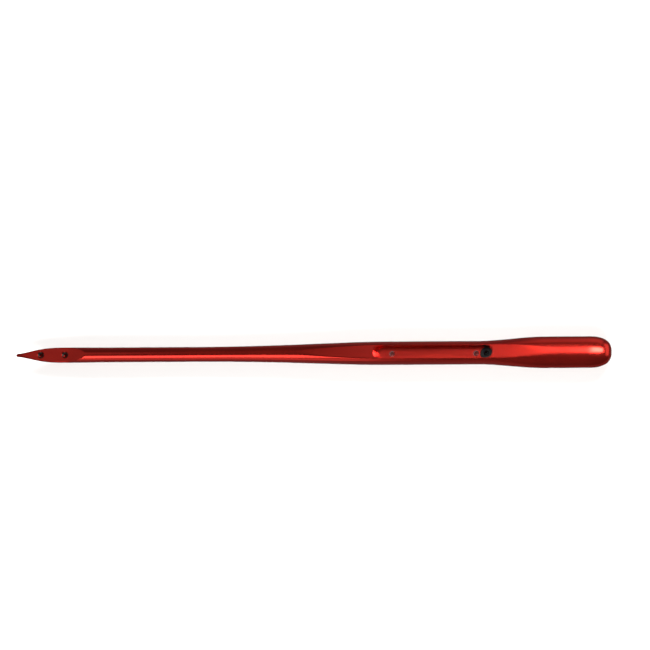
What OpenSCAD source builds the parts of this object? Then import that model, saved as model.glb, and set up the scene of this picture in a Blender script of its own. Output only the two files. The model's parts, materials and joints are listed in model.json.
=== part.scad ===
// Hydrofoil fuselage: one machined and anodised bar that joins a mast, a front wing and a stabiliser.
// +X runs forward to the nose, +Z up towards the mast. The origin is on the floor of the mast socket,
// midway between the two mast bolts.

/* [Overall] */
// Length from the tail tip to the nose
length = 710; // [600:1:860]
// Distance from the middle of the mast bolts to the nose
front_l = 211.5; // [200:0.5:260]
// Diameter of the boom at its thinnest
boom_d = 17.2; // [15:0.1:21]
// Diameter of the round body at the mast socket
mid_d = 27.2; // [24:0.1:33]
// Length over which the boom grows into the body
swell_l = 250; // [200:1:300]

/* [Nose] */
// Widest width of the nose
nose_w = 36.8; // [30:0.1:46]
// Height of the nose's crown above the bar's axis
nose_rise = 10.7; // [8:0.1:10.8]
// Depth of the nose below the bar's axis, before its seat is milled
nose_drop = 14.6; // [13.2:0.1:18]
// Length over which the body widens into the nose
bulge_l = 80; // [60:1:100]
// Length of the rounded end of the nose
nose_round_l = 27; // [20:1:40]
// Share of the nose's size that its flat end keeps
nose_end_share = 0.1; // [0.1:0.05:0.4]

/* [Flats] */
// Height of the deck above the bar's axis
deck_rise = 10.9; // [9:0.1:12]
// Depth of the flat underside below the bar's axis
keel_drop = 12.2; // [11:0.1:12.8]

/* [Mast socket] */
// Width of the socket, which takes the foot of the mast
socket_w = 15; // [12:0.1:17]
// Depth of the socket below the deck
socket_depth = 15; // [12:0.1:17]
// Distance from the rear mast bolt to the socket's rear end
socket_rear_l = 18.8; // [12:0.1:24]
// Distance from the front mast bolt to the socket's front end
socket_front_l = 22.6; // [20.5:0.1:30]
// Distance between the two mast bolts
mast_pitch = 100; // [80:1:120]
// Diameter of a mast bolt's clearance hole
mast_hole_d = 6.6; // [5.5:0.1:8.4]
// Diameter of the countersink for a mast bolt's head
sink_d = 11.6; // [10:0.1:11.8]

/* [Wing nut] */
// Diameter of the counterbore in the socket's floor
well_d = 15; // [12:0.1:16]
// Metal left between the front mast hole and the counterbore
well_wall = 1.5; // [1:0.1:3]
// Thickness of the nut's flange
flange_t = 3; // [2:0.1:3.6]
// Diameter of the nut's barrel
barrel_d = 9; // [8:0.1:10]

/* [Wing seat] */
// Distance between the wing bolts
wing_pitch = 50; // [40:1:56]
// Depth of a wing bolt's blind hole
wing_hole_depth = 13; // [9:0.1:15]

/* [Tail] */
// Length of the stabiliser seat, from the tail tip to where it starts to rise
seat_l = 63.5; // [62.5:0.5:90]
// Height of the stabiliser seat above the bar's axis
seat_rise = 2.5; // [1:0.1:4]
// Slope of the ramp from the front of the seat up to the boom, in degrees
ramp_slope = 17; // [12:1:30]
// Diameter of the tail beside the stabiliser bolts
tail_d = 17.8; // [16:0.1:21]
// Length of the tail's taper
taper_l = 72; // [60:1:80]
// Diameter of the small nub at the tail tip
nub_d = 3.4; // [2.8:0.1:4.2]
// Distance from the tail tip to the rear stabiliser bolt
tail_hole_x = 29.7; // [27:0.1:34]
// Distance between the stabiliser bolts
tail_pitch = 29; // [24:0.5:32]
// Depth of a stabiliser bolt's blind hole
tail_hole_depth = 7.4; // [6:0.1:7.8]

/* [Threads] */
// Inner diameter of an M6 thread
thread_d = 5; // [4.8:0.1:5.2]
// Outer diameter of a wire thread insert
insert_d = 7; // [6.6:0.1:7.4]
// Length of a wire thread insert
insert_l = 6; // [4:0.1:6.4]
// Depth of an insert's top below the seat
insert_sink = 0.5; // [0.3:0.1:0.8]

/* [Hidden] */

$fn = 96;
CLEAR = 0.05;        // radial clearance of a pressed or screwed-in piece
CUT = 1;             // how far a cut runs past the surface that it opens
FAR = 60;            // more than the bar's height
SIDES = 48;          // sides of the nose's sections
JOIN_INSET = 0.2;    // keeps the nose's first section just inside the round body
JOIN_LAP = 2;        // how far that section reaches back into the round body
RING_STEP = 6;       // spacing of the nose's sections
CAP_RINGS = 12;      // sections in the rounded end of the nose
TAPER_START = 1.6;   // exponents of the tail's taper: a slow start from the nub
TAPER_FULL = 5;      // and a full shoulder
TAPER_STEPS = 24;    // stations along the taper
WAIST_SHARE = 0.8;   // share of the seat's length over which the tail slims to the boom
SWELL_START = 1.4;   // exponent of the swell: a slow start from the boom
NOSE_LAG = 5;        // step between the starts of the joint, the crown's fall and the bulge
CROWN_SHARE = 1.33;  // the crown falls over this multiple of the bulge's length
CAP_POWER = 2.4;     // exponent of the nose's end: 2 is an ellipse, more is blunter

// Places along the bar
nose_x = front_l;
tail_x = front_l - length;
mast_rear_x = -mast_pitch / 2;
mast_front_x = mast_pitch / 2;
socket_rear_x = mast_rear_x - socket_rear_l;
socket_front_x = mast_front_x + socket_front_l;
swell_x = socket_rear_x + socket_w - swell_l;
join_x = socket_front_x - 2 * socket_w;
crown_x = join_x + NOSE_LAG;
bulge_x = crown_x + NOSE_LAG;
round_x = nose_x - nose_round_l;
seat_x = tail_x + seat_l;
nut_x = mast_front_x + mast_hole_d / 2 + well_wall + well_d / 2;
wing_rear_x = nut_x + wing_pitch;
wing_front_x = wing_rear_x + wing_pitch;
tail_rear_x = tail_x + tail_hole_x;
tail_front_x = tail_rear_x + tail_pitch;

// Heights: the socket's floor is at 0
deck_z = socket_depth;
axis_z = deck_z - deck_rise;
keel_z = axis_z - keel_drop;
seat_z = axis_z + seat_rise;
well_depth = flange_t + 0.2;
sink_depth = (sink_d - mast_hole_d) / 2;

function clamp(t) = max(0, min(1, t));
function ease(t) = let (c = clamp(t)) c * c * (3 - 2 * c);

// Radius of the round part of the bar at x: nub, taper, boom and swell
function taper(t) = 1 - pow(1 - pow(clamp(t), TAPER_START), TAPER_FULL);
function bar_r(x) =
    nub_d / 2
    + (tail_d - nub_d) / 2 * taper((x - tail_x) / taper_l)
    - (tail_d - boom_d) / 2 * ease((x - seat_x) / (seat_l * WAIST_SHARE))
    + (mid_d - boom_d) / 2 * ease(pow(clamp((x - swell_x) / swell_l), SWELL_START));

// Size of the nose's rounded end as a share of its full section: a quarter of a full ellipse
function cap(x) = let (u = clamp((x - round_x) / nose_round_l))
    nose_end_share + (1 - nose_end_share) * pow(1 - pow(u, CAP_POWER), 1 / CAP_POWER);
function nose_half_w(x) = cap(x) * (mid_d + (nose_w - mid_d) * ease((x - bulge_x) / bulge_l)) / 2;
function nose_up(x) =
    cap(x) * (mid_d / 2 + (nose_rise - mid_d / 2) * ease((x - crown_x) / (bulge_l * CROWN_SHARE)));
function nose_down(x) =
    cap(x) * (mid_d / 2 + (nose_drop - mid_d / 2) * ease((x - bulge_x) / bulge_l));
// One section of the nose: a half ellipse above the axis and a deeper one below it
function section(x, inset) = [
    for (k = [0 : SIDES - 1])
        let (a = 360 * k / SIDES, s = sin(a))
            [x,
             (nose_half_w(x) - inset) * cos(a),
             ((s > 0 ? nose_up(x) : nose_down(x)) - inset) * s]
];

// The round bar, turned about the X axis
module turned_bar() {
    steps = ceil((join_x - tail_x) / RING_STEP);
    stations = concat(
        [for (i = [0 : TAPER_STEPS]) tail_x + taper_l * i / TAPER_STEPS],
        [for (i = [1 : steps]) tail_x + taper_l + (join_x - tail_x - taper_l) * i / steps]
    );
    translate([0, 0, axis_z])
        rotate([0, 90, 0])
            rotate_extrude()
                polygon(concat([[0, tail_x]], [for (x = stations) [bar_r(x), x]], [[0, join_x]]));
}

// The oval nose, lofted through its sections
module lofted_nose() {
    rear_x = join_x + JOIN_LAP;
    rings = floor((round_x - rear_x) / RING_STEP);
    stations = concat(
        [join_x - JOIN_LAP],
        [for (i = [0 : rings - 1]) rear_x + (round_x - rear_x) * i / rings],
        [for (i = [0 : CAP_RINGS]) round_x + nose_round_l * sin(90 * i / CAP_RINGS)]
    );
    count = len(stations);
    points = [for (i = [0 : count - 1]) each section(stations[i], i == 0 ? JOIN_INSET : 0)];
    walls = [
        for (i = [0 : count - 2], k = [0 : SIDES - 1])
            let (j = (k + 1) % SIDES, p = i * SIDES, q = p + SIDES)
                each [[p + k, q + j, p + j], [p + k, q + k, q + j]]
    ];
    rear = [for (k = [0 : SIDES - 1]) k];
    front = [for (k = [SIDES - 1 : -1 : 0]) (count - 1) * SIDES + k];
    translate([0, 0, axis_z])
        polyhedron(points, concat(walls, [rear, front]));
}

// A slot with round ends, standing on z = 0
module slot(x0, x1, w, h) {
    translate([x0 + w / 2, -w / 2, 0]) cube([x1 - x0 - w, w, h]);
    for (x = [x0 + w / 2, x1 - w / 2])
        translate([x, 0, 0]) cylinder(d = w, h = h);
}

// The mast socket, with its two bolt holes and the nut's counterbore
module socket_cut() {
    slot(socket_rear_x, socket_front_x, socket_w, deck_z + FAR);
    for (x = [mast_rear_x, mast_front_x]) {
        translate([x, 0, keel_z - CUT])
            cylinder(d = mast_hole_d, h = CUT - keel_z + CUT);
        translate([x, 0, keel_z])
            cylinder(d1 = sink_d, d2 = mast_hole_d, h = sink_depth);
    }
    translate([nut_x, 0, -well_depth])
        cylinder(d = well_d, h = well_depth + CUT);
    translate([nut_x, 0, keel_z - CUT])
        cylinder(d = barrel_d + 2 * CLEAR, h = CUT - keel_z + CUT);
}

// The level seat for the stabiliser, and the ramp at its front
module tail_cut() {
    translate([0, FAR / 2, seat_z])
        rotate([90, 0, 0])
            linear_extrude(FAR)
                polygon([[tail_x - CUT, 0], [seat_x, 0],
                         [seat_x + FAR / tan(ramp_slope), FAR], [tail_x - CUT, FAR]]);
    for (x = [tail_rear_x, tail_front_x])
        translate([x, 0, seat_z - tail_hole_depth])
            cylinder(d = insert_d + 2 * CLEAR, h = tail_hole_depth + CUT);
}

// The flat underside, with the blind holes of the wing bolts
module keel_cut() {
    translate([swell_x, -FAR / 2, keel_z - FAR])
        cube([length, FAR, FAR]);
    for (x = [wing_rear_x, wing_front_x])
        translate([x, 0, keel_z - CUT])
            cylinder(d = insert_d + 2 * CLEAR, h = wing_hole_depth + CUT);
}

module fuselage_body() {
    color([0.76, 0.10, 0.09])
        difference() {
            union() {
                turned_bar();
                lofted_nose();
            }
            translate([swell_x, -FAR / 2, deck_z])
                cube([length, FAR, FAR]);
            keel_cut();
            tail_cut();
            socket_cut();
        }
}

// Flanged steel nut for the rear wing bolt, dropped into the socket's floor
module wing_nut() {
    color([0.05, 0.05, 0.05])
        translate([nut_x, 0, 0])
            difference() {
                union() {
                    translate([0, 0, -well_depth])
                        cylinder(d = well_d - 2 * CLEAR, h = flange_t);
                    translate([0, 0, keel_z + insert_sink])
                        cylinder(d = barrel_d, h = -well_depth - keel_z - insert_sink + CLEAR);
                }
                translate([0, 0, keel_z - CUT])
                    cylinder(d = thread_d, h = CUT - keel_z + CUT);
            }
}

// Wire thread insert for an M6 bolt, with its top on z = 0
module thread_insert() {
    color([0.72, 0.70, 0.68])
        translate([0, 0, -insert_l])
            difference() {
                cylinder(d = insert_d, h = insert_l);
                translate([0, 0, -CUT]) cylinder(d = thread_d, h = insert_l + 2 * CUT);
            }
}
module tail_insert(x) {
    translate([x, 0, seat_z - insert_sink]) thread_insert();
}
module wing_insert(x) {
    translate([x, 0, keel_z + insert_sink]) mirror([0, 0, 1]) thread_insert();
}
module tail_insert_rear() { tail_insert(tail_rear_x); }
module tail_insert_front() { tail_insert(tail_front_x); }
module wing_insert_rear() { wing_insert(wing_rear_x); }
module wing_insert_front() { wing_insert(wing_front_x); }

fuselage_body();
wing_nut();
tail_insert_rear();
tail_insert_front();
wing_insert_rear();
wing_insert_front();
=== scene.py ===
"""Hydrofoil fuselage in red anodised aluminium: its finished shapes, materials and a small studio."""

import json

import bpy
import numpy as np
from mathutils import Matrix, Vector


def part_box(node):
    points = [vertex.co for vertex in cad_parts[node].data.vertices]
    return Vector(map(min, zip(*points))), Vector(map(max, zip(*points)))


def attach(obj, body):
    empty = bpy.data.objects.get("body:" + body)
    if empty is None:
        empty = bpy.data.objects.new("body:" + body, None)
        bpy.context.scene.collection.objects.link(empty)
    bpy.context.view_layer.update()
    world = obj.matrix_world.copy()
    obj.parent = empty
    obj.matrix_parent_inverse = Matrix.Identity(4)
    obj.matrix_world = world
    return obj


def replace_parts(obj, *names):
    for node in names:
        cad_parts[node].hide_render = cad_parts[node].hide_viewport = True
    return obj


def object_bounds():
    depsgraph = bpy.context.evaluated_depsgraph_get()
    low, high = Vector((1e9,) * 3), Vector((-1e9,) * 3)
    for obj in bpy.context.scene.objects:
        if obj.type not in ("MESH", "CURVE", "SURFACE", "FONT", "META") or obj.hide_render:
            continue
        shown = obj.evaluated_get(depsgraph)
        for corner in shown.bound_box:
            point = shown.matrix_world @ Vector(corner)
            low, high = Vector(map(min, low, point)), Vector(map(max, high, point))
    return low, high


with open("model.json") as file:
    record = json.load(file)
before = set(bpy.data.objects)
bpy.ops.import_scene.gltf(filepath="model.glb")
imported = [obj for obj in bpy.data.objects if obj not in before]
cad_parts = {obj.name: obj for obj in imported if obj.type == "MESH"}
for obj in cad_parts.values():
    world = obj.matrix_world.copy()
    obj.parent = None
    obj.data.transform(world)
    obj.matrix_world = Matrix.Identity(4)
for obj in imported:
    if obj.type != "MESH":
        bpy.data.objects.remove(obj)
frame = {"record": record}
CAD_BOX = [list(map(float, corner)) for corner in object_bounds()]

bl_info = {
    "name": "Hydrofoil fuselage",
    "version": (1, 0, 0),
    "blender": (4, 5, 0),
    "location": "3D View > Sidebar > Fuselage",
    "description": "Builds a machined and anodised hydrofoil fuselage with its inserts and studio",
    "category": "Object",
}

MM = 0.001
CREASE = float(np.radians(35))  # faces that meet at more than this keep a crisp edge
THREAD_PITCH = 1 * MM
TAPER_START, TAPER_FULL = 1.6, 5  # powers: how slowly the tail's taper starts, how soon it fills
SWELL_START = 1.4  # power: how slowly the boom starts to swell
WAIST_SHARE = 0.8  # length of the waist in front of the seat, as a share of the seat
NUB_ROUND, NUB_DEPTH = 0.4, 0.96  # length and depth of the nub's rounding, as shares of its size
CROWN_SHARE = 1.33  # length of the crown's rise, as a share of the bulge
NOSE_LAG = 5 * MM  # how far in front of the crown's start the nose starts to widen
CAP_POWER = 2.4  # power of the nose's rounded end: 2 is an ellipse, more is blunter
DRILL_POINT = 0.6  # height of a drill's point, as a share of its radius
FLOOR_HALF = 1.8  # metres: the floor ends where the panels stop lighting it


def mount(name):
    """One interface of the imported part, by name."""
    return next(m for m in frame["record"]["mounts"] if m["name"] == name)


def centre(node):
    """Middle of a CAD node's box."""
    low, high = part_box(node)
    return (np.array(low) + np.array(high)) / 2


NOSE_X = CAD_BOX[1][0]
TAIL_X = CAD_BOX[0][0]
DECK_Z = CAD_BOX[1][2]
KEEL_Z = CAD_BOX[0][2]
MAST_PITCH = mount("mast_bolts")["dims"]["spacing_x_mm"] * MM
MAST_HOLE_R = mount("mast_bolts")["dims"]["hole_r_mm"] * MM
SOCKET_L = mount("mast_socket")["dims"]["length_mm"] * MM
SOCKET_X = mount("mast_socket")["pos_m"][0]
THREAD_R = mount("wing_rear_nut")["dims"]["r_mm"] * MM
SEAT_Z = mount("stabiliser_seat")["pos_m"][2]
NUT_X = float(centre("wing_nut")[0])
TAIL_HOLES = [float(centre(n)[0]) for n in ("tail_insert_rear", "tail_insert_front")]
WING_HOLES = [float(centre(n)[0]) for n in ("wing_insert_rear", "wing_insert_front")]


# ---------------------------------------------------------------- sizes and colours


def srgb(code):
    """Linear colour, with alpha, of an sRGB hex code."""
    parts = np.array([int(code[i : i + 2], 16) for i in (1, 3, 5)]) / 255
    linear = np.where(parts <= 0.04045, parts / 12.92, ((parts + 0.055) / 1.055) ** 2.4)
    return (*linear.tolist(), 1.0)


def length(name, description, millimetres):
    """A length property, given in millimetres."""
    return bpy.props.FloatProperty(
        name=name, description=description, default=millimetres * MM, unit="LENGTH", precision=4
    )


def number(name, description, default):
    """A plain number property."""
    return bpy.props.FloatProperty(name=name, description=description, default=default)


def angle(name, description, degrees):
    """An angle property, given in degrees."""
    return bpy.props.FloatProperty(
        name=name, description=description, default=float(np.radians(degrees)), unit="ROTATION"
    )


def colour(name, description, code):
    """A colour property, given as an sRGB hex code."""
    return bpy.props.FloatVectorProperty(
        name=name, description=description, default=srgb(code), size=4, subtype="COLOR"
    )


class BodySizes(bpy.types.PropertyGroup):
    """Sizes of the machined bar."""

    boom_d: length("Boom", "Diameter of the boom at its thinnest", 17.2)
    mid_d: length("Body", "Diameter of the round body at the mast socket", 27.2)
    swell_l: length("Swell", "Length over which the boom grows into the body", 250)
    nose_w: length("Nose width", "Widest width of the nose", 36.8)
    nose_rise: length("Nose rise", "Height of the nose's crown above the bar's axis", 10.7)
    nose_drop: length("Nose drop", "Depth of the nose below the axis before milling", 14.6)
    bulge_l: length("Bulge", "Length over which the body widens into the nose", 80)
    nose_round_l: length("Nose rounding", "Length of the rounded end of the nose", 27)
    nose_end_share: number("Nose end", "Share of the nose's size that its flat end keeps", 0.1)
    deck_rise: length("Deck", "Height of the deck above the bar's axis", 10.9)
    seat_l: length("Seat", "Length of the stabiliser seat from the tail tip", 63.5)
    ramp_slope: angle("Ramp", "Slope of the ramp from the seat up to the boom", 17)
    tail_d: length("Tail", "Diameter of the tail beside its bolts", 17.8)
    taper_l: length("Taper", "Length of the tail's taper", 72)
    nub_d: length("Nub", "Diameter of the nub at the tail tip", 3.4)
    soft_edge: length("Soft edge", "Width of the blasted edge beside a milled flat", 0.45)


class CutSizes(bpy.types.PropertyGroup):
    """Sizes of the socket and the holes."""

    socket_w: length("Socket width", "Width of the mast socket", 15)
    socket_lip: length("Socket lip", "Rounding of the socket's rim", 0.3)
    floor_fillet: length("Floor fillet", "Corner radius that the end mill leaves", 1.0)
    sink_d: length("Countersink", "Diameter of the mast bolts' countersinks", 11.6)
    well_d: length("Counterbore", "Diameter of the nut's counterbore", 14.9)
    well_depth: length("Counterbore depth", "Depth of the nut's counterbore", 3.2)
    barrel_d: length("Barrel hole", "Diameter of the hole for the nut's barrel", 9.1)
    insert_hole_d: length("Insert hole", "Diameter of an insert's hole", 7.1)
    tail_hole_depth: length("Tail hole", "Depth of the tail's blind holes", 7.4)
    wing_hole_depth: length("Wing hole", "Depth of the nose's blind holes", 13)
    chamfer: length("Chamfer", "Chamfer at the mouth of an insert's hole", 0.7)


class Finishes(bpy.types.PropertyGroup):
    """Colours of the finishes."""

    dye_deep: colour("Deep dye", "Anodising dye where the layer is thick", "#CE2418")
    dye_light: colour("Light dye", "Anodising dye where the layer is thin", "#E22C1C")
    steel: colour("Steel", "Drawn stainless wire", "#8F8A84")
    black_steel: colour("Black steel", "Oil-blackened steel", "#121314")
    floor: colour("Floor", "Pale studio floor", "#F4F3F1")


class StudioSettings(bpy.types.PropertyGroup):
    """Camera and lights."""

    lens: number("Lens", "Focal length in millimetres", 1200)
    view_w: length("View width", "Width that the camera sees at the object", 755)
    lean_nose: angle("Lean to the nose", "How far the camera leans to the nose", 13.5)
    lean_side: angle("Lean to the side", "How far the camera leans to the right side", 9.1)
    roll: angle("Roll", "How far the camera is turned about its own axis", 0.36)
    aim_x: length("Aim along", "Where the camera aims from the bar's middle, along it", 12.5)
    aim_y: length("Aim across", "Where the camera aims from the bar's middle, across it", 34.3)
    key: number("Key", "Brightness of the softbox over the nose", 14)
    fill: number("Fill", "Brightness of the dim panel over the socket", 0.5)
    rear: number("Rear", "Brightness of the dim panel over the tail", 0.25)
    low: number("Low", "Brightness of the dim panel behind the tail", 0.19)
    front: number("Front", "Brightness of the panel in front of the nose", 0.9)
    side: number("Side", "Brightness of the low panel beside the nose", 0.45)
    strip: number("Strip", "Brightness of the panel beside the boom", 2.8)
    skirt: number("Skirt", "Brightness of the low panel beside the boom", 0.6)
    wash: number("Wash", "Brightness of the two panels that only light the floor", 13.5)


# ---------------------------------------------------------------- mesh and node helpers


def link(mesh, name, materials=()):
    """Puts a mesh into the scene as a smooth piece with crisp edges."""
    for material in materials:
        mesh.materials.append(material)
    mesh.shade_smooth()
    mesh.set_sharp_from_angle(angle=CREASE)
    piece = bpy.data.objects.new(name, mesh)
    bpy.context.scene.collection.objects.link(piece)
    return piece


def grid_mesh(name, grid, caps="fan"):
    """Closed skin over a grid of points (rows, columns, 3). Columns wrap round. The first and last
    rows are each closed by a fan to their mean point, or joined to each other with caps="ring"."""
    rows, columns, _ = grid.shape
    points = grid.reshape(-1, 3)
    here = np.arange(columns)
    after = (here + 1) % columns
    lows = np.arange(rows if caps == "ring" else rows - 1)[:, None] * columns
    highs = (lows + columns) % (rows * columns)
    quads = np.stack([lows + here, lows + after, highs + after, highs + here], axis=-1)
    faces = quads.reshape(-1, 4).tolist()
    if caps == "fan":
        ends = np.stack([grid[0].mean(axis=0), grid[-1].mean(axis=0)])
        first, last = rows * columns, rows * columns + 1
        top = (rows - 1) * columns
        points = np.concatenate([points, ends])
        faces += np.stack([after, here, np.full(columns, first)], axis=-1).tolist()
        faces += np.stack([top + here, top + after, np.full(columns, last)], axis=-1).tolist()
    mesh = bpy.data.meshes.new(name)
    mesh.from_pydata(points.tolist(), [], faces)
    mesh.validate()
    mesh.update()
    return mesh


def turned_grid(profile, x, sides):
    """Points of a profile of (radius, height) rows turned about the upright axis at x."""
    profile = np.array(profile)
    turn = np.linspace(0, 2 * np.pi, sides, endpoint=False)
    radius, height = profile[:, 0:1], profile[:, 1:2]
    return np.stack(
        [x + radius * np.cos(turn), radius * np.sin(turn), height + 0 * turn], axis=-1
    )


def cut(piece, cutter_mesh, material):
    """Cuts a closed mesh out of a piece and leaves the result in the piece's own mesh. The cut
    faces take the given material."""
    cutter_mesh.materials.append(material)
    cutter = bpy.data.objects.new("cutter", cutter_mesh)
    bpy.context.scene.collection.objects.link(cutter)
    boolean = piece.modifiers.new("cut", "BOOLEAN")
    boolean.operation = "DIFFERENCE"
    boolean.solver = "EXACT"
    boolean.material_mode = "TRANSFER"
    boolean.object = cutter
    graph = bpy.context.evaluated_depsgraph_get()
    result = bpy.data.meshes.new_from_object(piece.evaluated_get(graph))
    piece.modifiers.clear()
    piece.data = result
    bpy.data.objects.remove(cutter)


def add_node(tree, kind, inputs=None, **settings):
    """Adds a node, sets its properties, and sets or links its inputs by name or number."""
    node = tree.nodes.new(kind)
    for key, value in settings.items():
        setattr(node, key, value)
    for key, value in (inputs or {}).items():
        if isinstance(value, bpy.types.NodeSocket):
            tree.links.new(value, node.inputs[key])
        else:
            node.inputs[key].default_value = value
    return node


def new_material(name):
    """An empty node material and its tree."""
    material = bpy.data.materials.new(name)
    material.use_nodes = True
    material.node_tree.nodes.clear()
    return material, material.node_tree


def close_material(tree, shader):
    """Sends a shader to the material's output."""
    add_node(tree, "ShaderNodeOutputMaterial", {"Surface": shader.outputs[0]})


def ramp(tree, factor, stops):
    """A colour ramp with the given (place, colour) stops."""
    node = add_node(tree, "ShaderNodeValToRGB", {"Fac": factor})
    elements = node.color_ramp.elements
    for index, (place, value) in enumerate(stops):
        element = elements[index] if index < 2 else elements.new(place)
        element.position = place
        element.color = value
    return node


# ---------------------------------------------------------------- the bar's shape


def ease(t):
    """Smooth step from 0 to 1."""
    t = np.clip(t, 0, 1)
    return t * t * (3 - 2 * t)


def soft_min(a, b, width):
    """The smaller of a and b, rounded off where they differ by less than width."""
    near = np.maximum(width - np.abs(a - b), 0) / width
    return np.minimum(a, b) - near * near * width / 4


def bar_radius(x, s):
    """Radius of the turned bar: a nub, a taper with a slow start, a boom, then a slow swell."""
    taper = 1 - (1 - np.clip((x - TAIL_X) / s.taper_l, 0, 1) ** TAPER_START) ** TAPER_FULL
    socket_rear = SOCKET_X - SOCKET_L / 2
    swell_x = socket_rear + bpy.context.scene.fuselage_cuts.socket_w - s.swell_l
    swell = ease(np.clip((x - swell_x) / s.swell_l, 0, 1) ** SWELL_START)
    slim = ease((x - TAIL_X - s.seat_l) / (s.seat_l * WAIST_SHARE))
    radius = s.nub_d + (s.tail_d - s.nub_d) * taper - (s.tail_d - s.boom_d) * slim
    radius = (radius + (s.mid_d - s.boom_d) * swell) / 2
    rounding = np.clip((x - TAIL_X) / (NUB_ROUND * s.nub_d), 0, 1)
    return radius * np.sqrt(1 - (1 - rounding) ** 2 * NUB_DEPTH)


def bar_section(x, s):
    """Half width, height above and depth below the axis of the bar's oval section at x. They equal
    the turned radius up to the socket, ease to the nose's own values, and close in a quarter of a
    full ellipse of power 2.4."""
    radius = bar_radius(x, s)
    socket_front = SOCKET_X + SOCKET_L / 2
    crown_x = socket_front - 2 * bpy.context.scene.fuselage_cuts.socket_w + NOSE_LAG
    bulge_x = crown_x + NOSE_LAG
    u = np.clip((x - NOSE_X + s.nose_round_l) / s.nose_round_l, 0, 1)
    cap = s.nose_end_share + (1 - s.nose_end_share) * (1 - u**CAP_POWER) ** (1 / CAP_POWER)
    bulge = ease((x - bulge_x) / s.bulge_l)
    half_w = radius + (s.nose_w / 2 - s.mid_d / 2) * bulge
    up = radius + (s.nose_rise - s.mid_d / 2) * ease((x - crown_x) / (CROWN_SHARE * s.bulge_l))
    down = radius + (s.nose_drop - s.mid_d / 2) * bulge
    return half_w * cap, up * cap, down * cap


def top_limit(x, s):
    """Height that milling leaves above the axis: the tail seat, a straight ramp up from its front,
    then the deck."""
    climb = np.maximum(x - TAIL_X - s.seat_l, 0) * np.tan(s.ramp_slope)
    axis_z = DECK_Z - s.deck_rise
    return np.minimum(SEAT_Z - axis_z + climb, s.deck_rise)


def bar_grid(s, x, counts):
    """Skin of the bar. For each x, one side of the section runs from the top centre across the flat
    (y evenly spaced), down the oval (equal angles, denser at its ends) and in across the underside.
    Heights are the oval's, limited softly by the milled flats, and the other side mirrors it."""
    flat, side, keel = counts
    axis_z = DECK_Z - s.deck_rise
    half_w, up, down = (v[:, None] for v in bar_section(x, s))
    limit = top_limit(x, s)[:, None]
    floor = np.full_like(limit, axis_z - KEEL_Z)
    most = np.radians(80)
    top_angle = np.minimum(np.arcsin(np.clip(limit / up, 0, 1)), most)
    low_angle = np.minimum(np.arcsin(np.clip(floor / down, 0, 1)), most)
    y_top = half_w * np.cos(top_angle) * np.sin(np.linspace(0, np.pi / 2, flat + 1))
    share = (1 - np.cos(np.linspace(0, np.pi, side + 1)[1:])) / 2
    turn = top_angle - (top_angle + low_angle) * share
    y_side = half_w * np.cos(turn)
    z_side = np.where(turn > 0, up, down) * np.sin(turn)
    y_low = half_w * np.cos(low_angle) * np.cos(np.linspace(0, np.pi / 2, keel + 1)[1:])
    z_top = up * np.sqrt(1 - (y_top / half_w) ** 2)
    z_low = -down * np.sqrt(1 - (y_low / half_w) ** 2)
    y = np.concatenate([y_top, y_side, y_low], axis=1)
    z = np.concatenate([z_top, z_side, z_low], axis=1)
    z = soft_min(z, limit + 0 * z, s.soft_edge)
    z = -soft_min(-z, floor + 0 * z, s.soft_edge)
    y = np.concatenate([y, -y[:, -2:0:-1]], axis=1)
    z = np.concatenate([z, z[:, -2:0:-1]], axis=1) + axis_z
    return np.stack([x[:, None] + 0 * y, y, z], axis=-1)


def bar_stations(s):
    """Places of the sections: close together where the outline or the milling turns quickly."""
    seat = TAIL_X + s.seat_l
    rise = seat + 0.4 * s.seat_l
    cap = NOSE_X - s.nose_round_l
    bends = [
        (TAIL_X, TAIL_X + 2 * MM, 10),
        (TAIL_X + 2 * MM, seat, 80),
        (seat, rise, 70),
        (rise, SOCKET_X - s.swell_l, 30),
        (SOCKET_X - s.swell_l, SOCKET_X, 70),
        (SOCKET_X, cap, 90),
    ]
    straight = [np.linspace(a, b, n, endpoint=False) for a, b, n in bends]
    end = cap + s.nose_round_l * np.sin(np.linspace(0, np.pi / 2, 30))
    return np.concatenate([*straight, end])


def slot_grid(c, deck_z):
    """The mast socket's cutter. Its outline is two half circles joined by straights. It is carried up
    a profile of (height, growth): a floor fillet, an upright wall, and a rim rounding that opens."""
    corner = np.linspace(0, np.pi / 2, 8)
    lip = np.linspace(0, np.radians(70), 7)
    fillet = c.floor_fillet
    growth = [*(-fillet * (1 - np.sin(corner))), *(c.socket_lip * (1 - np.cos(lip)))]
    rim_z = deck_z - c.socket_lip * np.sin(lip[-1])
    height = [*(fillet * (1 - np.cos(corner))), *(rim_z + c.socket_lip * np.sin(lip))]
    reach = 4 * MM
    growth.append(growth[-1] + reach * np.tan(lip[-1]))
    height.append(height[-1] + reach)
    growth, height = np.array(growth)[:, None], np.array(height)[:, None]
    radius = c.socket_w / 2
    half = SOCKET_L / 2 - radius
    turn = np.linspace(-np.pi / 2, np.pi / 2, 33)
    turns = np.concatenate([turn, turn + np.pi])
    ends = np.where(np.arange(turns.size) < turn.size, half, -half)
    x = SOCKET_X + ends + (radius + growth) * np.cos(turns)
    y = (radius + growth) * np.sin(turns)
    return np.stack([x, y, height + 0 * x], axis=-1)


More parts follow.
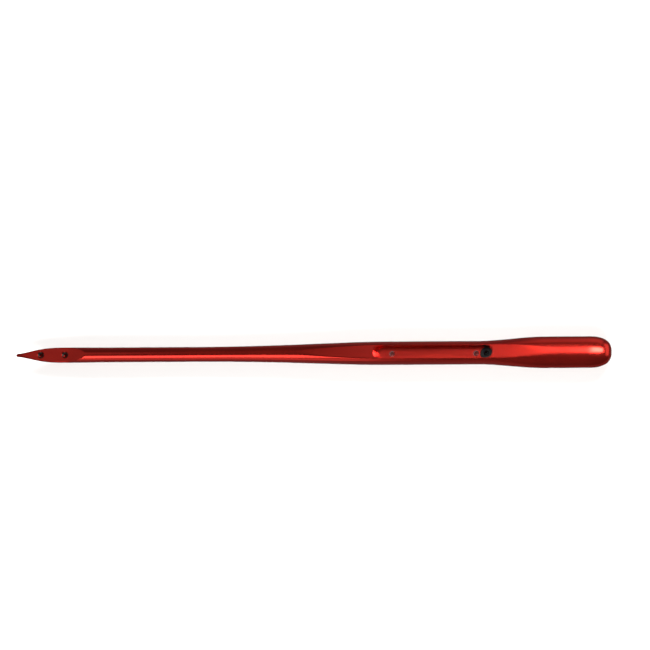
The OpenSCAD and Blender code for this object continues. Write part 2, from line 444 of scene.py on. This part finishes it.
def hole_cutters(c):
    """Profiles of (radius, height) for every drilled hole, from its lower end to its upper one."""
    out = 1 * MM
    mast_r, sink_r = MAST_HOLE_R, c.sink_d / 2
    sink_top = KEEL_Z + sink_r - mast_r
    bolt = [(sink_r + out, KEEL_Z - out), (mast_r, sink_top), (mast_r, out)]
    barrel_r, well_r = c.barrel_d / 2, c.well_d / 2
    nut = [
        (barrel_r, KEEL_Z - out),
        (barrel_r, -c.well_depth),
        (well_r, -c.well_depth),
        (well_r, 2 * out),
    ]
    hole_r, chamfer = c.insert_hole_d / 2, c.chamfer
    point = hole_r * DRILL_POINT
    tail_end = SEAT_Z - c.tail_hole_depth
    tail = [
        (hole_r * 0.02, tail_end - point),
        (hole_r, tail_end),
        (hole_r, SEAT_Z - chamfer),
        (hole_r + chamfer + out, SEAT_Z + out),
    ]
    wing_end = KEEL_Z + c.wing_hole_depth
    wing = [
        (hole_r + chamfer + out, KEEL_Z - out),
        (hole_r, KEEL_Z + chamfer),
        (hole_r, wing_end),
        (hole_r * 0.02, wing_end + point),
    ]
    holes = [(bolt, -MAST_PITCH / 2), (bolt, MAST_PITCH / 2), (nut, NUT_X)]
    holes += [(tail, x) for x in TAIL_HOLES]
    holes += [(wing, x) for x in WING_HOLES]
    return holes


# ---------------------------------------------------------------- materials


def anodised_aluminium(f, name, rough, feed_depth):
    """Anodised aluminium: a metal seen through a clear dyed layer, so it has saturated red
    reflections, dark where the room is dark, and pale grazing edges. Its outside is fine blasted
    before dyeing; its milled socket and holes are smoother and mirror their own walls."""
    material, tree = new_material(name)
    place = add_node(tree, "ShaderNodeTexCoord").outputs["Object"]
    # The dye takes unevenly over a few centimetres, and along the bar more than across it
    along = add_node(tree, "ShaderNodeMapping", {"Vector": place, "Scale": (14, 55, 55)})
    cloud = add_node(
        tree, "ShaderNodeTexNoise", {"Vector": along.outputs[0], "Scale": 1.0, "Detail": 3.0}
    )
    dye = ramp(tree, cloud.outputs["Fac"], [(0.3, f.dye_deep), (0.7, f.dye_light)])
    # Blasting grain of about 0.3 mm, drawn at 0.7 mm so that it shows
    grain = add_node(
        tree, "ShaderNodeTexNoise", {"Vector": place, "Scale": 1 / (0.7 * MM), "Detail": 2.0}
    )
    # Feed marks every 0.5 mm across the bar: nearly gone under the blasting, plain where milled
    feed = add_node(
        tree,
        "ShaderNodeTexWave",
        {"Vector": place, "Scale": 2 * np.pi / 20 / (0.5 * MM), "Distortion": 0.4},
        wave_type="BANDS",
        bands_direction="X",
    )
    shine = add_node(
        tree,
        "ShaderNodeMapRange",
        {"Value": grain.outputs["Fac"], "To Min": rough - 0.04, "To Max": rough + 0.04},
    )
    marks = add_node(
        tree,
        "ShaderNodeBump",
        {"Height": feed.outputs["Fac"], "Strength": feed_depth, "Distance": 0.01 * MM},
    )
    bump = add_node(
        tree,
        "ShaderNodeBump",
        {
            "Height": grain.outputs["Fac"],
            "Strength": 0.12,
            "Distance": 0.03 * MM,
            "Normal": marks.outputs[0],
        },
    )
    shader = add_node(
        tree,
        "ShaderNodeBsdfPrincipled",
        {
            "Base Color": dye.outputs["Color"],
            "Metallic": 1.0,
            "Roughness": shine.outputs[0],
            "Normal": bump.outputs[0],
            "Coat Weight": 0.45,
            "Coat Roughness": 0.2,
            "Coat IOR": 1.5,
        },
    )
    close_material(tree, shader)
    return material


def drawn_steel(f):
    """Drawn stainless wire: bright, with fine draw lines along it that soften the shine."""
    material, tree = new_material("drawn_stainless_wire")
    place = add_node(tree, "ShaderNodeTexCoord").outputs["Object"]
    lines = add_node(
        tree, "ShaderNodeTexNoise", {"Vector": place, "Scale": 1 / (0.3 * MM), "Detail": 2.0}
    )
    rough = add_node(
        tree,
        "ShaderNodeMapRange",
        {"Value": lines.outputs["Fac"], "To Min": 0.16, "To Max": 0.32},
    )
    tone = ramp(tree, lines.outputs["Fac"], [(0.2, srgb("#6E6A65")), (0.8, f.steel)])
    shader = add_node(
        tree,
        "ShaderNodeBsdfPrincipled",
        {"Base Color": tone.outputs["Color"], "Metallic": 1.0, "Roughness": rough.outputs[0]},
    )
    close_material(tree, shader)
    return material


def blackened_steel(f):
    """Turned steel blackened in hot salts and oiled: near black, with a dull, slightly mottled shine."""
    material, tree = new_material("blackened_steel")
    place = add_node(tree, "ShaderNodeTexCoord").outputs["Object"]
    mottle = add_node(
        tree, "ShaderNodeTexNoise", {"Vector": place, "Scale": 1 / (2 * MM), "Detail": 4.0}
    )
    tone = ramp(tree, mottle.outputs["Fac"], [(0.3, srgb("#0B0C0D")), (0.75, f.black_steel)])
    rough = add_node(
        tree,
        "ShaderNodeMapRange",
        {"Value": mottle.outputs["Fac"], "To Min": 0.3, "To Max": 0.5},
    )
    shader = add_node(
        tree,
        "ShaderNodeBsdfPrincipled",
        {"Base Color": tone.outputs["Color"], "Metallic": 0.6, "Roughness": rough.outputs[0]},
    )
    close_material(tree, shader)
    return material


def pale_floor(f):
    """Matt paper background: pale, without any shine."""
    material, tree = new_material("pale_paper")
    shader = add_node(
        tree,
        "ShaderNodeBsdfPrincipled",
        {"Base Color": f.floor, "Roughness": 0.9, "Specular IOR Level": 0.2},
    )
    close_material(tree, shader)
    return material


# ---------------------------------------------------------------- operators


class FUSELAGE_OT_body(bpy.types.Operator):
    """Build the machined bar with its socket and holes"""

    bl_idname = "fuselage.body"
    bl_label = "Body"

    def execute(self, context):
        scene = context.scene
        sizes, cuts = scene.fuselage_body, scene.fuselage_cuts
        skin = bar_grid(sizes, bar_stations(sizes), (8, 34, 7))
        mesh = grid_mesh("fuselage_bar", skin)
        finishes = scene.fuselage_finishes
        blasted = anodised_aluminium(finishes, "red_anodised_blasted", 0.23, 0.02)
        milled = anodised_aluminium(finishes, "red_anodised_milled", 0.22, 0.1)
        body = link(mesh, "fuselage_bar", [blasted])
        cut(body, grid_mesh("slot", slot_grid(cuts, DECK_Z)), milled)
        for profile, x in hole_cutters(cuts):
            cut(body, grid_mesh("hole", turned_grid(profile, x, 64)), milled)
        body.data.shade_smooth()
        body.data.set_sharp_from_angle(angle=CREASE)
        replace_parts(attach(body, "root"), "fuselage_body")
        return {"FINISHED"}


class FUSELAGE_OT_inserts(bpy.types.Operator):
    """Wind the wire thread inserts"""

    bl_idname = "fuselage.inserts"
    bl_label = "Thread inserts"

    def execute(self, context):
        steel = drawn_steel(context.scene.fuselage_finishes)
        for node in ("tail_insert_rear", "tail_insert_front", "wing_insert_rear", "wing_insert_front"):
            coil = link(grid_mesh(node + "_coil", coil_grid(node)), node + "_coil", [steel])
            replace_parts(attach(coil, "root"), node)
        return {"FINISHED"}


def coil_grid(node):
    """Wire of diamond section wound into a thread: the section is carried along a helix of one
    millimetre pitch inside the box of the insert's CAD node."""
    low, high = (np.array(corner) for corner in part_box(node))
    x, y = (low[:2] + high[:2]) / 2
    outer = (high[0] - low[0]) / 2
    half, pitch = (outer - THREAD_R) / 2, THREAD_PITCH
    tall = 0.46 * pitch
    rise = high[2] - low[2] - 2 * tall
    turns = rise / pitch
    run = np.linspace(0, 1, int(turns * 36))[:, None]
    turn = 2 * np.pi * turns * run
    corner = np.radians([0, 90, 180, 270])
    radius = outer - half + half * np.cos(corner)
    z = low[2] + tall + rise * run + tall * np.sin(corner)
    return np.stack([x + radius * np.cos(turn), y + radius * np.sin(turn), z], axis=-1)


class FUSELAGE_OT_nut(bpy.types.Operator):
    """Turn the flanged wing nut"""

    bl_idname = "fuselage.nut"
    bl_label = "Wing nut"

    def execute(self, context):
        grid = nut_grid(context.scene.fuselage_cuts)
        black = blackened_steel(context.scene.fuselage_finishes)
        nut = link(grid_mesh("wing_nut_turned", grid, caps="ring"), "wing_nut_turned", [black])
        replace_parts(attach(nut, "root"), "wing_nut")
        return {"FINISHED"}


def nut_grid(c):
    """The nut's outer profile, turned: barrel, flange and chamfers. Its bore's radius follows a
    triangle wave of height over pitch less the turn, which is a thread."""
    low, high = (np.array(corner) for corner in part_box("wing_nut"))
    bottom, top = low[2], high[2]
    flange_r, barrel_r = c.well_d / 2 - 0.1 * MM, c.barrel_d / 2 - 0.05 * MM
    edge, under = 0.4 * MM, -c.well_depth
    outside = [
        (THREAD_R + edge, bottom),
        (barrel_r - edge, bottom),
        (barrel_r, bottom + edge),
        (barrel_r, under),
        (flange_r - edge / 2, under),
        (flange_r, under + edge / 2),
        (flange_r, top - edge),
        (flange_r - edge, top),
        (THREAD_R + 2 * edge, top),
    ]
    grid = turned_grid(outside, NUT_X, 72)
    height = np.linspace(top - 2 * edge, bottom + edge, 60)[:, None]
    turn = np.linspace(0, 2 * np.pi, 72, endpoint=False)
    wave = np.abs(((height / THREAD_PITCH - turn / (2 * np.pi)) % 1) - 0.5) * 2
    fade = np.clip((top - 2 * edge - height) / edge, 0, 1)
    radius = THREAD_R + 0.5 * MM * wave * fade
    thread = np.stack(
        [NUT_X + radius * np.cos(turn), radius * np.sin(turn), height + 0 * turn], axis=-1
    )
    return np.concatenate([grid, thread])


def facing(back, along):
    """Rotation that turns -Z away from back, with X as near to along as it can be."""
    across = (along - back * along.dot(back)).normalized()
    return Matrix(np.array([across, back.cross(across), back]).T.tolist()).to_euler()


def area_light(name, place, target, size, glow):
    """A soft rectangular light at a place, facing a target, with its length along the bar. Its
    power is its brightness times pi times its area."""
    data = bpy.data.lights.new(name, "AREA")
    data.shape = "RECTANGLE"
    data.size, data.size_y = size
    data.energy = glow * np.pi * size[0] * size[1]
    lamp = bpy.data.objects.new(name, data)
    lamp.location = place
    back = (Vector(place) - Vector(target)).normalized()
    along = Vector((1, 0, 0)) if abs(back.x) < 0.7 else Vector((0, 1, 0))
    lamp.rotation_euler = facing(back, along)
    # A panel may light the object but never hides it, whichever side it is seen from
    lamp.visible_camera = False
    bpy.context.scene.collection.objects.link(lamp)
    return lamp


def studio_world(scene):
    """A dim room, darkest near the horizon, above a grey table. The camera sees it as pale paper."""
    world = bpy.data.worlds.new("studio")
    scene.world = world
    world.use_nodes = True
    tree = world.node_tree
    tree.nodes.clear()
    direction = add_node(tree, "ShaderNodeTexCoord").outputs["Generated"]
    height = add_node(tree, "ShaderNodeSeparateXYZ", {0: direction}).outputs["Z"]
    grey = ramp(
        tree,
        height,
        [
            (0.0, srgb("#7C7C7C")),
            (0.05, srgb("#555555")),
            (0.4, srgb("#5F5F5F")),
            (1.0, srgb("#616161")),
        ],
    )
    seen = add_node(tree, "ShaderNodeLightPath").outputs["Is Camera Ray"]
    paper = add_node(
        tree,
        "ShaderNodeMix",
        {"Factor": seen, 6: grey.outputs["Color"], 7: srgb("#F4F3F1")},
        data_type="RGBA",
    )
    back = add_node(tree, "ShaderNodeBackground", {"Color": paper.outputs[2], "Strength": 1.0})
    add_node(tree, "ShaderNodeOutputWorld", {"Surface": back.outputs[0]})


class FUSELAGE_OT_studio(bpy.types.Operator):
    """Set up the floor, the lights and the camera"""

    bl_idname = "fuselage.studio"
    bl_label = "Studio"

    def execute(self, context):
        scene = context.scene
        s = scene.fuselage_studio
        scene.view_settings.view_transform = "Standard"
        middle = (np.array(CAD_BOX[0]) + np.array(CAD_BOX[1])) / 2
        corners = np.array([(-1, -1), (1, -1), (1, 1), (-1, 1)]) * FLOOR_HALF
        floor = bpy.data.meshes.new("floor")
        places = [(x, y, KEEL_Z) for x, y in corners.tolist()]
        floor.from_pydata(places, [], [(0, 1, 2, 3)])
        ground = link(floor, "floor", [pale_floor(scene.fuselage_finishes)])
        ground.visible_glossy = False
        studio_world(scene)
        panels = [
            ("key", (0.285, 0.19, 0.8), (0.285, 0.19, 0), (0.46, 0.30), s.key),
            ("fill", (-0.17, 0.375, 0.8), (-0.17, 0.375, 0), (0.26, 0.55), s.fill),
            ("rear", (-0.72, 0.20, 0.8), (-0.72, 0.20, 0), (0.36, 0.40), s.rear),
            ("low", (-1.35, 0.13, 0.8), (-0.43, 0, 0), (0.7, 0.6), s.low),
            ("front", (0.95, 0.28, 0.45), (0.2, 0, 0), (1.25, 0.7), s.front),
            ("side", (0.20, 0.90, 0.35), (0.20, 0, 0), (0.6, 0.6), s.side),
            ("strip", (-0.66, -0.80, 0.9), (-0.66, 0, 0), (0.40, 0.70), s.strip),
            ("skirt", (-0.55, -1.0, 0.2), (-0.55, 0, 0), (0.5, 0.5), s.skirt),
        ]
        for panel in panels:
            area_light(*panel).visible_diffuse = False
        for side in (-1, 1):
            wash = area_light("wash", (0, 2.0 * side, 1.3), (0, 0, 0), (3.0, 1.0), s.wash)
            wash.visible_glossy = False

        aim = Vector((middle[0] + s.aim_x, middle[1] + s.aim_y, 0))
        lean = Vector((np.tan(s.lean_nose), -np.tan(s.lean_side), 1)).normalized()
        data = bpy.data.cameras.new("camera")
        data.lens = s.lens
        camera = bpy.data.objects.new("camera", data)
        camera.location = aim + lean * (s.view_w * s.lens / data.sensor_width)
        camera.rotation_euler = facing(lean, Vector((np.cos(s.roll), -np.sin(s.roll), 0)))
        scene.collection.objects.link(camera)
        scene.camera = camera
        return {"FINISHED"}


class FUSELAGE_PT_panel(bpy.types.Panel):
    """Lists the pieces and their sizes"""

    bl_idname = "FUSELAGE_PT_panel"
    bl_label = "Fuselage"
    bl_space_type = "VIEW_3D"
    bl_region_type = "UI"
    bl_category = "Fuselage"

    def draw(self, context):
        for operator in OPERATORS:
            self.layout.operator(operator.bl_idname)
        for attribute, group in GROUPS.items():
            box = self.layout.box()
            for key in group.__annotations__:
                box.prop(getattr(context.scene, attribute), key)


OPERATORS = (FUSELAGE_OT_body, FUSELAGE_OT_inserts, FUSELAGE_OT_nut, FUSELAGE_OT_studio)
GROUPS = {
    "fuselage_body": BodySizes,
    "fuselage_cuts": CutSizes,
    "fuselage_finishes": Finishes,
    "fuselage_studio": StudioSettings,
}


def register():
    for group in GROUPS.values():
        bpy.utils.register_class(group)
    for attribute, group in GROUPS.items():
        setattr(bpy.types.Scene, attribute, bpy.props.PointerProperty(type=group))
    for operator in OPERATORS:
        bpy.utils.register_class(operator)
    bpy.utils.register_class(FUSELAGE_PT_panel)


def unregister():
    bpy.utils.unregister_class(FUSELAGE_PT_panel)
    for operator in reversed(OPERATORS):
        bpy.utils.unregister_class(operator)
    for attribute, group in GROUPS.items():
        delattr(bpy.types.Scene, attribute)
        bpy.utils.unregister_class(group)


def main():
    register()
    bpy.ops.fuselage.body()
    bpy.ops.fuselage.inserts()
    bpy.ops.fuselage.nut()
    bpy.ops.fuselage.studio()


if __name__ == "__main__":
    main()
